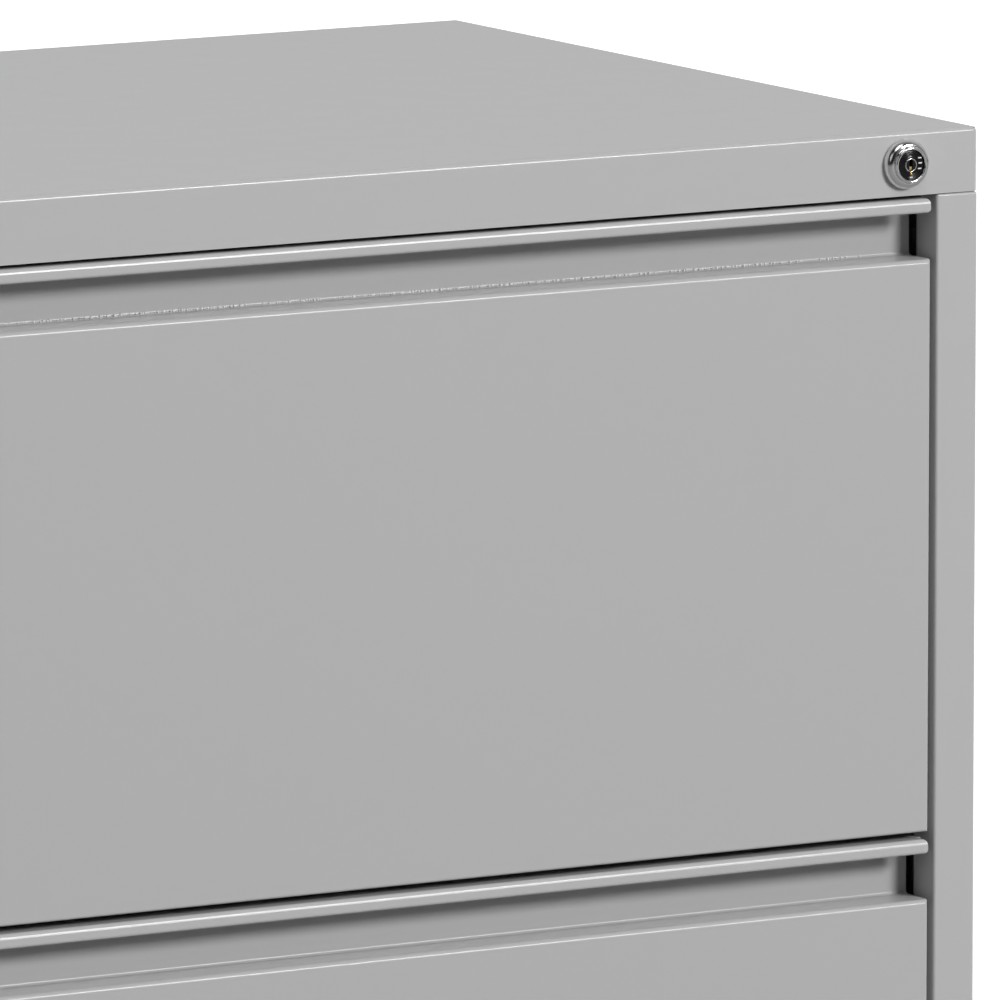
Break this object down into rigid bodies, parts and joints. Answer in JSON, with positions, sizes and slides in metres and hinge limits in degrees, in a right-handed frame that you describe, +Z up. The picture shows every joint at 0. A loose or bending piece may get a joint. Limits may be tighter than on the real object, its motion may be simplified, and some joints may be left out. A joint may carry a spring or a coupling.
{
  "type": "lateral filing cabinet",
  "caption": "Wide low steel filing cabinet with full-width drawers on ball-bearing slides, folded finger-pull fronts, a top rail lock with lock bar, and levelling glides.",
  "frame": {"origin": "on the floor, under the middle of the whole object's box", "axes": "+X to the right as seen from the front, +Y back into the cabinet, +Z up; the drawers open along -Y"},
  "size_m": [0.9144, 0.495, 0.7207],
  "materials": {
    "case_paint": "light grey powder coat, satin, fine orange peel",
    "front_paint": "light grey powder coat, satin, fine orange peel",
    "box_paint": "light grey paint, thinner coat inside",
    "zinc": "bright zinc plate",
    "ball_steel": "polished bearing balls in a steel cage",
    "raw_steel": "hot-rolled steel bar with mill scale",
    "lock_chrome": "polished chrome plate",
    "lock_black": "black satin lacquer",
    "glide_nylon": "black moulded nylon"
  },
  "bodies": {
    "case": {"top_cap": "case_paint", "back_panel": "case_paint", "base_front_rail": "case_paint", "left_side_panel": "case_paint", "right_side_panel": "case_paint", "base_pan": "zinc", "counterweight": "raw_steel", "front_left_upright": "zinc", "front_right_upright": "zinc", "rear_left_upright": "zinc", "rear_right_upright": "zinc", "lock_housing": "lock_chrome", "lock_nut": "zinc", "upper_lock_bar_guide": "zinc", "lower_lock_bar_guide": "zinc", "upper_left_slide_case_member": "zinc", "upper_right_slide_case_member": "zinc", "lower_left_slide_case_member": "zinc", "lower_right_slide_case_member": "zinc"},
    "front_left_foot": {"front_left_glide": "glide_nylon"},
    "front_right_foot": {"front_right_glide": "glide_nylon"},
    "rear_left_foot": {"rear_left_glide": "glide_nylon"},
    "rear_right_foot": {"rear_right_glide": "glide_nylon"},
    "plug": {"lock_plug": "lock_black", "lock_cam": "zinc"},
    "bar": {"lock_bar": "zinc"},
    "upper_drawer": {"upper_drawer_front": "front_paint", "upper_drawer_liner": "box_paint", "upper_drawer_left_side": "box_paint", "upper_drawer_right_side": "box_paint", "upper_drawer_back": "box_paint", "upper_drawer_bottom": "box_paint", "upper_front_hang_rail": "zinc", "upper_rear_hang_rail": "zinc", "upper_lock_catch": "zinc", "upper_left_slide_drawer_member": "zinc", "upper_right_slide_drawer_member": "zinc"},
    "upper_middle_slides": {"upper_left_slide_middle_member": "zinc", "upper_right_slide_middle_member": "zinc"},
    "upper_outer_cages": {"upper_left_slide_outer_ball_cage": "ball_steel", "upper_right_slide_outer_ball_cage": "ball_steel"},
    "upper_inner_cages": {"upper_left_slide_inner_ball_cage": "ball_steel", "upper_right_slide_inner_ball_cage": "ball_steel"},
    "lower_drawer": {"lower_drawer_front": "front_paint", "lower_drawer_liner": "box_paint", "lower_drawer_left_side": "box_paint", "lower_drawer_right_side": "box_paint", "lower_drawer_back": "box_paint", "lower_drawer_bottom": "box_paint", "lower_front_hang_rail": "zinc", "lower_rear_hang_rail": "zinc", "lower_lock_catch": "zinc", "lower_left_slide_drawer_member": "zinc", "lower_right_slide_drawer_member": "zinc"},
    "lower_middle_slides": {"lower_left_slide_middle_member": "zinc", "lower_right_slide_middle_member": "zinc"},
    "lower_outer_cages": {"lower_left_slide_outer_ball_cage": "ball_steel", "lower_right_slide_outer_ball_cage": "ball_steel"},
    "lower_inner_cages": {"lower_left_slide_inner_ball_cage": "ball_steel", "lower_right_slide_inner_ball_cage": "ball_steel"}
  },
  "joints": [
    {"name": "upper_drawer_pull", "type": "slide", "parent": "case", "child": "upper_drawer", "axis": [0, -1, 0], "range_m": [0, 0.4]},
    {"name": "upper_middle_run", "type": "slide", "parent": "case", "child": "upper_middle_slides", "axis": [0, -1, 0], "range_m": [0, 0.2]},
    {"name": "upper_outer_cage_run", "type": "slide", "parent": "case", "child": "upper_outer_cages", "axis": [0, -1, 0], "range_m": [0, 0.1]},
    {"name": "upper_inner_cage_run", "type": "slide", "parent": "case", "child": "upper_inner_cages", "axis": [0, -1, 0], "range_m": [0, 0.3]},
    {"name": "lower_drawer_pull", "type": "slide", "parent": "case", "child": "lower_drawer", "axis": [0, -1, 0], "range_m": [0, 0.4]},
    {"name": "lower_middle_run", "type": "slide", "parent": "case", "child": "lower_middle_slides", "axis": [0, -1, 0], "range_m": [0, 0.2]},
    {"name": "lower_outer_cage_run", "type": "slide", "parent": "case", "child": "lower_outer_cages", "axis": [0, -1, 0], "range_m": [0, 0.1]},
    {"name": "lower_inner_cage_run", "type": "slide", "parent": "case", "child": "lower_inner_cages", "axis": [0, -1, 0], "range_m": [0, 0.3]},
    {"name": "lock_turn", "type": "hinge", "parent": "case", "child": "plug", "pos_m": [0.417, -0.24147, 0.70545], "axis": [0, -1, 0], "range_deg": [0, 90]},
    {"name": "lock_bar_lift", "type": "slide", "parent": "case", "child": "bar", "axis": [0, 0, 1], "range_m": [0, 0.01414]},
    {"name": "front_left_glide_turn", "type": "hinge", "parent": "case", "child": "front_left_foot", "pos_m": [-0.3972, -0.20647, 0.02], "axis": [0, 0, 1], "continuous": true},
    {"name": "front_right_glide_turn", "type": "hinge", "parent": "case", "child": "front_right_foot", "pos_m": [0.3972, -0.20647, 0.02], "axis": [0, 0, 1], "continuous": true},
    {"name": "rear_left_glide_turn", "type": "hinge", "parent": "case", "child": "rear_left_foot", "pos_m": [-0.3972, 0.23028, 0.02], "axis": [0, 0, 1], "continuous": true},
    {"name": "rear_right_glide_turn", "type": "hinge", "parent": "case", "child": "rear_right_foot", "pos_m": [0.3972, 0.23028, 0.02], "axis": [0, 0, 1], "continuous": true}
  ],
  "couplings": [
    {"joint": "upper_middle_run", "follows": "upper_drawer_pull", "ratio": 0.5},
    {"joint": "upper_outer_cage_run", "follows": "upper_drawer_pull", "ratio": 0.25},
    {"joint": "upper_inner_cage_run", "follows": "upper_drawer_pull", "ratio": 0.75},
    {"joint": "lower_middle_run", "follows": "lower_drawer_pull", "ratio": 0.5},
    {"joint": "lower_outer_cage_run", "follows": "lower_drawer_pull", "ratio": 0.25},
    {"joint": "lower_inner_cage_run", "follows": "lower_drawer_pull", "ratio": 0.75},
    {"joint": "lock_turn", "follows": "lock_bar_lift", "rad_per_m": 111.07}
  ]
}
